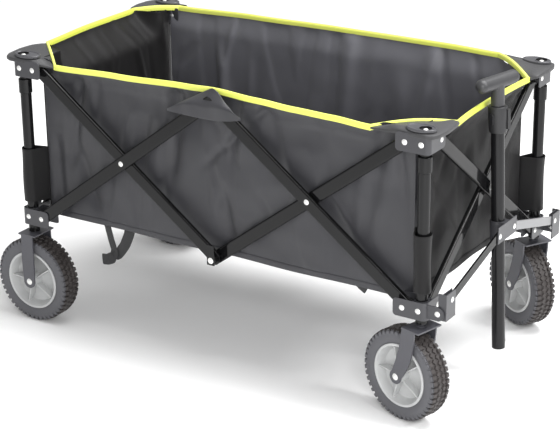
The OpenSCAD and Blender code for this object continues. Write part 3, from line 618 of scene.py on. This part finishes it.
def sheet_mesh(name, columns, rows, point, thick, material, subdivide=1, closed=False):
    """A cloth sheet: point(s, t) for s across and t down, both 0 to 1, given its thickness."""
    count = columns if closed else columns + 1
    corners_at = [point(i / columns, j / rows) for j in range(rows + 1) for i in range(count)]
    faces = []
    for j in range(rows):
        for i in range(columns):
            a, b = j * count + i, j * count + (i + 1) % count
            faces.append((a, b, b + count, a + count))
    mesh = bpy.data.meshes.new(name)
    mesh.from_pydata([tuple(p) for p in corners_at], [], faces)
    obj = bpy.data.objects.new(name, mesh)
    scene.collection.objects.link(obj)
    only(obj)
    wall = obj.modifiers.new("thickness", "SOLIDIFY")
    wall.thickness = thick
    wall.offset = 0
    bpy.ops.object.modifier_apply(modifier="thickness")
    if subdivide:
        soft = obj.modifiers.new("soft", "SUBSURF")
        soft.levels = subdivide
        soft.render_levels = subdivide
        bpy.ops.object.modifier_apply(modifier="soft")
    bpy.ops.object.mode_set(mode="EDIT")
    bpy.ops.mesh.select_all(action="SELECT")
    bpy.ops.mesh.normals_make_consistent(inside=False)
    bpy.ops.object.mode_set(mode="OBJECT")
    bpy.ops.object.shade_smooth_by_angle(angle=math.radians(60))
    dress(obj, material)
    return obj


near_rim = [(-0.372, 0.5415), (-0.22, 0.5470), (-0.06, 0.5532), (0.0, 0.5555), (0.09, 0.5510), (0.17, 0.5472),
            (0.25, 0.5455), (0.326, 0.5415)]
far_rim = [(-0.395, 0.5535), (-0.20, 0.5595), (0.0, 0.5630), (0.14, 0.5640), (0.25, 0.5645), (0.356, 0.5625)]
front_rim = [(-0.130, 0.5430), (0.0, 0.5425), (0.158, 0.5450)]
rear_rim = [(-0.130, 0.5520), (0.0, 0.5555), (0.158, 0.5535)]
rims = {"right": near_rim, "left": far_rim, "front": front_rim, "rear": rear_rim}


def end_rim_x(side, a):
    """How far forwards or back the rim of an end wall stands: the front one bows in behind the handle."""
    if side == "rear":
        return rear_rim_x
    return front_rim_x - 0.0085 * (1 - min(1, abs(a) / end_cut(a)) ** 2)


def side_cut(side, a):
    return cuts[side][0 if a > 0 else 1]


def end_cut(a):
    """Where the rim of an end wall turns off towards the corner."""
    return 0.158 if a > 0 else 0.130


wall_facts = {
    "right": ("head_rr", (1, 0, 0), (-0.395, 0, 0), fold_keep_x, folds(11, -0.40, 0.40, 34, 0.0115)),
    "left": ("head_fl", (1, 0, 0), (0.395, 0, 0), fold_keep_x, folds(23, -0.40, 0.40, 32, 0.0110)),
    "front": ("head_fr", (0, 1, 0), (0, -0.19, 0), fold_keep_y, folds(5, -0.20, 0.20, 16, 0.0050)),
    "rear": ("head_rl", (0, 1, 0), (0, 0.19, 0), fold_keep_y, folds(8, -0.20, 0.20, 16, 0.0060)),
}
cloth_side = canvas("cloth_side", from_hex("242428"), from_hex("2e2e33"), (1, 0, 0), (0, 0, 1),
                    rough=0.42, crumple=1.0)
# The far wall is the same canvas as the near one in a much lighter copy: painted light on its lit inner face.
cloth_far_painted_lit = canvas("cloth_far_painted_lit", from_hex("515157"), from_hex("5f5f65"), (1, 0, 0), (0, 0, 1),
                   rough=0.46, crumple=0.7)
# The end walls and their hems take a near-black copy of the same canvas: painted shade on the end faces.
cloth_end_painted_shade = canvas("cloth_end_painted_shade", from_hex("0c0b0c"), from_hex("121112"), (0, 1, 0), (0, 0, 1),
                   sheen=0.03, specular=0.16, crumple=0.6)
cloth_flat = canvas("cloth_flat", from_hex("222225"), from_hex("2b2b2e"), (1, 0, 0), (0, 1, 0), crumple=0.3)
cloth_cap = canvas("cloth_cap", from_hex("29292b"), from_hex("323234"), (1, 0, 0), (0, 1, 0))
cloth_dark = canvas("cloth_dark", from_hex("0e0e0f"), from_hex("151415"), (1, 1, 0), (0, 0, 1), sheen=0.04, specular=0.2)


def wall_point(side, a, z_share, proud=0.0):
    """The cloth of one wall at a along it and a share of the way from rim to hem, pushed out by proud."""
    long_side = side in ("right", "left")
    rim_end = side_cut(side, a) if long_side else end_cut(a)
    half = 0.4105 if long_side else 0.2105
    face, rim_face = (wall_y, rim_y) if long_side else (wall_x, end_rim_x(side, a))
    start = 0.505 if long_side else 0.485
    rim_top = along(a, rims[side]) - 0.003
    corner_top = 0.5485
    corner = smooth((abs(a) - rim_end + 0.004) / 0.028)
    top = rim_top + (corner_top - rim_top) * corner
    sag = 0.0035 * math.cos(math.pi * a / (2 * half)) * math.sin(9 * a / half + 1)
    bottom = floor_z - (0.0065 if long_side else 0.002) + sag * 0.4
    z = top + (bottom - top) * z_share
    lean = smooth((z - start) / (top - start)) * (1 - corner)
    edge_fade = smooth((half - abs(a)) / 0.03) * smooth(z_share / 0.06) * smooth((1 - z_share) / 0.04)
    lift = relief_of(wall_facts[side][4], a, z_share) * edge_fade
    lift = max(-0.010, min(0.0030, lift))
    out = face + (rim_face - face) * lean + lift + proud
    if side == "right":
        return Vector((a, -out, z))
    if side == "left":
        return Vector((a, out, z))
    if side == "front":
        return Vector((out, a, z))
    return Vector((-out, a, z))


def with_wall(obj, side):
    """This piece rides on the body that carries one wall of the bag, with a mesh of its own."""
    body, axis, anchor, keep, _ = wall_facts[side]
    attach(obj, body)
    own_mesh(obj)


walls = {}
for side in ("right", "left", "front", "rear"):
    half = 0.4105 if side in ("right", "left") else 0.2105
    columns = 150 if half > 0.3 else 80
    # The far wall takes the lighter copy of the canvas, painted light; the end walls take the near-black copy, painted
    # shade.
    walls[side] = sheet_mesh("wall_" + side, columns, 52,
                             lambda s, t: wall_point(side, (2 * s - 1) * half, t), 0.0016,
                             {"right": cloth_side, "left": cloth_far_painted_lit}.get(side, cloth_end_painted_shade))
    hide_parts("bag_wall_" + side)
    with_wall(walls[side], side)

# ---- Hem ----
# The lower edge of each wall is turned and sewn down, which shows as a narrow thicker band.
hems = {}
for side in ("right", "left", "front", "rear"):
    half = 0.4105 if side in ("right", "left") else 0.2105
    # The end hems take the near-black copy of the canvas, painted shade, like their walls.
    hems[side] = sheet_mesh("hem_" + side, 110 if half > 0.3 else 60, 2,
                            lambda s, t: wall_point(side, (2 * s - 1) * half, 0.962 + 0.041 * t, 0.0012), 0.0014,
                            cloth_side if half > 0.3 else cloth_end_painted_shade, subdivide=1)
    with_wall(hems[side], side)

# ---- Rim binding ----
# A lime-yellow tape sewn over the cut edge of the rim, straight along each wall and slanting across the four
# corners, where it carries the cloth gussets.


def sweep(name, path, profile, material, first=None, last=None):
    """A closed profile of (out, up) points swept along a path that runs level, its ends turned to first and last."""
    verts, faces = [], []
    n = len(profile)
    for k, point in enumerate(path):
        ahead = path[min(k + 1, len(path) - 1)] - path[max(k - 1, 0)]
        if k == 0 and first:
            ahead = first
        if k == len(path) - 1 and last:
            ahead = last
        flat = Vector((ahead.x, ahead.y, 0)).normalized()
        side_way = Vector((flat.y, -flat.x, 0))
        true_way = (path[min(k + 1, len(path) - 1)] - path[max(k - 1, 0)]).normalized()
        stretch = 1 / max(0.5, abs(Vector((true_way.x, true_way.y, 0)).normalized().dot(flat)))
        for out, up in profile:
            verts.append(point + side_way * out * stretch + Vector((0, 0, up)))
    for k in range(len(path) - 1):
        for i in range(n):
            a, b = k * n + i, k * n + (i + 1) % n
            faces.append((a, b, b + n, a + n))
    faces.append(tuple(range(n)))
    faces.append(tuple(reversed(range(n * (len(path) - 1), n * len(path)))))
    mesh = bpy.data.meshes.new(name)
    mesh.from_pydata([tuple(v) for v in verts], [], faces)
    obj = bpy.data.objects.new(name, mesh)
    scene.collection.objects.link(obj)
    only(obj)
    bpy.ops.object.mode_set(mode="EDIT")
    bpy.ops.mesh.select_all(action="SELECT")
    bpy.ops.mesh.normals_make_consistent(inside=False)
    bpy.ops.object.mode_set(mode="OBJECT")
    bpy.ops.object.shade_smooth_by_angle(angle=math.radians(50))
    dress(obj, material)
    return obj


# The long walls and corner slants take the tape in its lit colour; the end walls take a darker copy of the same tape,
# painted shade.
lime = canvas("lime_tape", from_hex("dde658"), from_hex("e8ee74"), (1, 1, 0), (0, 0, 1), bump=0.25, sheen=0.1)
lime_painted_shade = canvas("lime_painted_shade", from_hex("c9d244"), from_hex("d4dc55"), (1, 1, 0), (0, 0, 1), bump=0.25, sheen=0.1)
tape = [(-0.0026, -0.0088), (-0.0030, -0.004), (-0.0026, 0.0), (-0.0012, 0.0016), (0.0012, 0.0016),
        (0.0026, 0.0), (0.0030, -0.004), (0.0026, -0.0088), (0.0, -0.0091)]


def rim_point(side, a):
    height = along(a, rims[side])
    if side in ("right", "left"):
        return Vector((a, -rim_y if side == "right" else rim_y, height))
    return Vector((end_rim_x(side, a) * (1 if side == "front" else -1), a, height))


bindings = {}
for side in ("right", "left", "front", "rear"):
    long_side = side in ("right", "left")
    low, high = (-side_cut(side, -1), side_cut(side, 1)) if long_side else (-end_cut(-1), end_cut(1))
    steps = 70 if long_side else 30
    path = [rim_point(side, low + (high - low) * k / steps) for k in range(steps + 1)]
    turn = 0.405 if long_side else 0.381
    way = (path[1] - path[0]).normalized()
    inward = Vector((0, -math.copysign(1, path[0].y), 0))
    if not long_side:
        inward = Vector((-math.copysign(1, path[0].x), 0, 0))
    level = Vector((way.x, way.y, 0)).normalized()
    first = (level * math.cos(turn) - inward * math.sin(turn))
    last = (level * math.cos(turn) + inward * math.sin(turn))
    # The end bindings take the darker copy of the tape, painted shade.
    bindings[side] = sweep("binding_" + side, path, tape, lime if long_side else lime_painted_shade, first, last)
    body, axis, anchor, keep, _ = wall_facts[side]
    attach(bindings[side], body)
    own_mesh(bindings[side])

# ---- Corner gussets ----
# A stiffened cloth gusset at each corner covers the head of the post, from the slanting rim to a rounded outer
# corner. Its outer edges turn down over the bracket, and the cap's screw holds it.
gussets, slants = {}, {}
outlines = {
    "front": [(0.372, 0.2380), (0.396, 0.2465), (0.430, 0.2512), (0.450, 0.2512), (0.4610, 0.2460),
              (0.4665, 0.2330), (0.4690, 0.2050), (0.4650, 0.1650), (0.4560, 0.1400)],
    "rear": [(0.400, 0.2415), (0.412, 0.2475), (0.440, 0.2515), (0.462, 0.2505), (0.4750, 0.2430),
             (0.4820, 0.2290), (0.4850, 0.1950), (0.4800, 0.1640), (0.4730, 0.1400)],
}
for corner, (px, py) in corners.items():
    sx, sy = (1 if px > 0 else -1), (1 if py > 0 else -1)
    side = "right" if sy < 0 else "left"
    end = "front" if sx > 0 else "rear"
    start = rim_point(side, sx * side_cut(side, sx))
    stop = rim_point(end, sy * end_cut(sy))
    rise = 0.0065 if sx > 0 else 0.0025
    steps = 16
    path = []
    for k in range(steps + 1):
        point = start.lerp(stop, k / steps)
        point.z += rise * math.sin(math.pi * k / steps)
        path.append(point)
    side_way, end_way = Vector((sx, 0, 0)), Vector((0, -sy, 0))
    slant = (stop - start).normalized()
    slant.z = 0
    slants[corner] = sweep("slant_" + corner, path, tape, lime,
                           (side_way + slant.normalized()).normalized(), (end_way + slant.normalized()).normalized())
    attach(slants[corner], "head_" + corner)
    outline = [(abs(start.x), abs(start.y) + 0.002)] + [p for p in outlines[end] if p[1] > end_cut(sy) + 0.004]
    outline.append((abs(stop.x) + 0.002, abs(stop.y)))

    def gusset_point(s, t):
        inner = path[0].lerp(path[-1], s)
        inner.z += rise * math.sin(math.pi * s) - 0.0030
        place = s * (len(outline) - 1)
        k = min(int(place), len(outline) - 2)
        x = outline[k][0] + (outline[k + 1][0] - outline[k][0]) * (place - k)
        y = outline[k][1] + (outline[k + 1][1] - outline[k][1]) * (place - k)
        top, skirt = min(1.0, t / 0.78), max(0.0, (t - 0.78) / 0.22)
        outer = Vector((sx * x, sy * y, 0.5530))
        point = inner.lerp(outer, top)
        edge_fade = smooth(min(s, 1 - s) / 0.24)
        climb = (0.5530 - inner.z) * smooth(top * 1.5) + 0.0010 * math.sin(math.pi * top)
        point.z = inner.z + climb * edge_fade
        point.z -= (0.0014 * smooth((top - 0.9) / 0.1) + 0.0065 * skirt) * (0.35 + 0.65 * edge_fade)
        return point

    gussets[corner] = sheet_mesh("gusset_" + corner, 40, 18, gusset_point, 0.0014, cloth_cap)
    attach(gussets[corner], "head_" + corner)

for side in walls:
    long_side = side in ("right", "left")

# ---- Post sleeves ----
# A loop of the same canvas at each corner runs round the lower half of the post and back to the corner seam,
# and keeps the bag against the frame.
for corner, (px, py) in corners.items():
    sx, sy = (1 if px > 0 else -1), (1 if py > 0 else -1)
    radius = 0.0150
    seam = Vector((0.4115 - 0.440, 0.2110 - 0.234))
    spread = math.acos(radius / seam.length)
    facing = math.atan2(seam.y, seam.x)
    arc = 28
    ring_points = [(seam.x, seam.y)]
    for k in range(1, 6):
        tangent = Vector((math.cos(facing + spread), math.sin(facing + spread))) * radius
        ring_points.append(tuple(seam.lerp(tangent, k / 6)))
    for k in range(arc + 1):
        angle = facing + spread + (2 * math.pi - 2 * spread) * k / arc
        ring_points.append((radius * math.cos(angle), radius * math.sin(angle)))
    for k in range(1, 6):
        tangent = Vector((math.cos(facing - spread), math.sin(facing - spread))) * radius
        ring_points.append(tuple(tangent.lerp(seam, k / 6)))
    draw = random.Random(corner)
    ripple = [(draw.uniform(0, 6.28), draw.uniform(20, 60), draw.uniform(0.0002, 0.0005)) for _ in range(4)]

    def sleeve_point(s, t):
        x, y = ring_points[round(s * len(ring_points)) % len(ring_points)]
        z = 0.2555 + (0.3665 - 0.2555) * (1 - t)
        away = Vector((x, y)).normalized()
        lift = sum(h * math.sin(p + f * z + 3 * s) for p, f, h in ripple)
        lift += 0.0006 * smooth((abs(t - 0.5) - 0.44) / 0.04)
        x, y = x + away.x * lift, y + away.y * lift
        return Vector((px + sx * x, py + sy * y, z))

    sleeve = sheet_mesh("sleeve_" + corner, len(ring_points), 16, sleeve_point, 0.0013, cloth_dark, closed=True)
    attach(sleeve, "head_" + corner)

# ---- Hinge flaps ----
# A small cloth tongue sewn to the middle of each long rim hangs over the top centre hinge of the bars.
for side, sy in (("right", -1), ("left", 1)):

    def flap_point(s, t):
        w = 2 * s - 1
        tip = 0.512 if w < 0 else 0.520
        apex, low = (0.5590, 0.5050) if sy < 0 else (0.5570, 0.5060)
        x = (0.085 if w < 0 else 0.077) * w
        upper = Vector((x, 0, apex - (apex - tip) * abs(w)))
        lower = Vector((x, 0, low + (tip - 0.004 - low) * abs(w) ** 2))
        point = upper.lerp(lower, t)
        out = 0.2290 + 0.0256 * smooth(t * 1.7 + abs(w) * 1.1)
        out += 0.0009 * math.sin(14 * w + 2) * (1 - t)
        point.y = sy * out
        return point

    flap = sheet_mesh("flap_" + side, 36, 18, flap_point, 0.0014, cloth_side)
    with_wall(flap, side)

# ---- Bag floor ----
# The floor is a stiffened panel in two halves that fold up along the middle, each covered in the same canvas
# with a sewn border.
for side, sy in (("right", -1), ("left", 1)):
    bpy.ops.object.select_all(action="DESELECT")
    bpy.ops.mesh.primitive_cube_add(size=1, location=(0, sy * 0.1052, 0.2340))
    panel = named("floor_panel_" + side)
    panel.scale = (0.820, 0.2085, 0.0036)
    bpy.ops.object.transform_apply(location=True, scale=True)
    bpy.ops.object.mode_set(mode="EDIT")
    bpy.ops.mesh.select_all(action="DESELECT")
    mesh = bmesh.from_edit_mesh(panel.data)
    for face in mesh.faces:
        face.select = abs(face.normal.z) > 0.9
    bpy.ops.mesh.inset(thickness=0.012, depth=0)
    bpy.ops.mesh.inset(thickness=0.0015, depth=-0.0007)
    bpy.ops.mesh.inset(thickness=0.0015, depth=0.0007)
    bpy.ops.mesh.select_all(action="SELECT")
    bpy.ops.object.mode_set(mode="OBJECT")
    soft = panel.modifiers.new("edge", "BEVEL")
    soft.width = 0.0008
    soft.segments = 2
    bpy.ops.object.modifier_apply(modifier="edge")
    bpy.ops.object.shade_smooth_by_angle(angle=math.radians(40))
    dress(panel, cloth_flat)
    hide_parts("bag_floor_" + side)
    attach(panel, "floor_" + side)
    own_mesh(panel)

# ---- Closing strap ----
# A strap of black webbing is sewn under the floor near the right rear and hangs in a loop with a loose tail;
# the end of another shows below the right wall.
webbing = canvas("webbing", from_hex("161617"), from_hex("222224"), (1, 0, 1), (1, 0, -1), bump=0.6)


def ribbon(name, points, width, twist=0.0):
    """Webbing along a line of points in a plane that faces sideways, turned by twist."""
    def at(s, t):
        place = s * (len(points) - 1)
        k = min(int(place), len(points) - 2)
        here = Vector(points[k]).lerp(Vector(points[k + 1]), place - k)
        way = (Vector(points[min(k + 1, len(points) - 1)]) - Vector(points[max(k, 0)])).normalized()
        across = way.cross(Vector((math.sin(twist), math.cos(twist), 0))).normalized()
        return here + across * width * (t - 0.5)
    return sheet_mesh(name, 4 * (len(points) - 1), 2, at, 0.0016, webbing)


strap_left = ribbon("strap_left", [(-0.293, -0.190, 0.2305), (-0.287, -0.191, 0.214), (-0.278, -0.194, 0.190),
                                   (-0.268, -0.197, 0.168), (-0.270, -0.199, 0.154), (-0.284, -0.200, 0.147),
                                   (-0.297, -0.201, 0.146)], 0.024, 0.3)
strap_right = ribbon("strap_right", [(-0.232, -0.188, 0.2305), (-0.235, -0.190, 0.208), (-0.244, -0.193, 0.184),
                                     (-0.259, -0.1955, 0.162), (-0.270, -0.1965, 0.156)], 0.022, -0.5)
strap_tab = ribbon("strap_tab", [(0.290, -0.203, 0.2310), (0.300, -0.204, 0.224), (0.312, -0.205, 0.218)], 0.018)
for strap, flat in ((strap_left, (0.106, 0.024)), (strap_right, (0.087, 0.022)), (strap_tab, (0.026, 0.018))):
    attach(strap, "head_rr" if strap is not strap_tab else "head_fr")
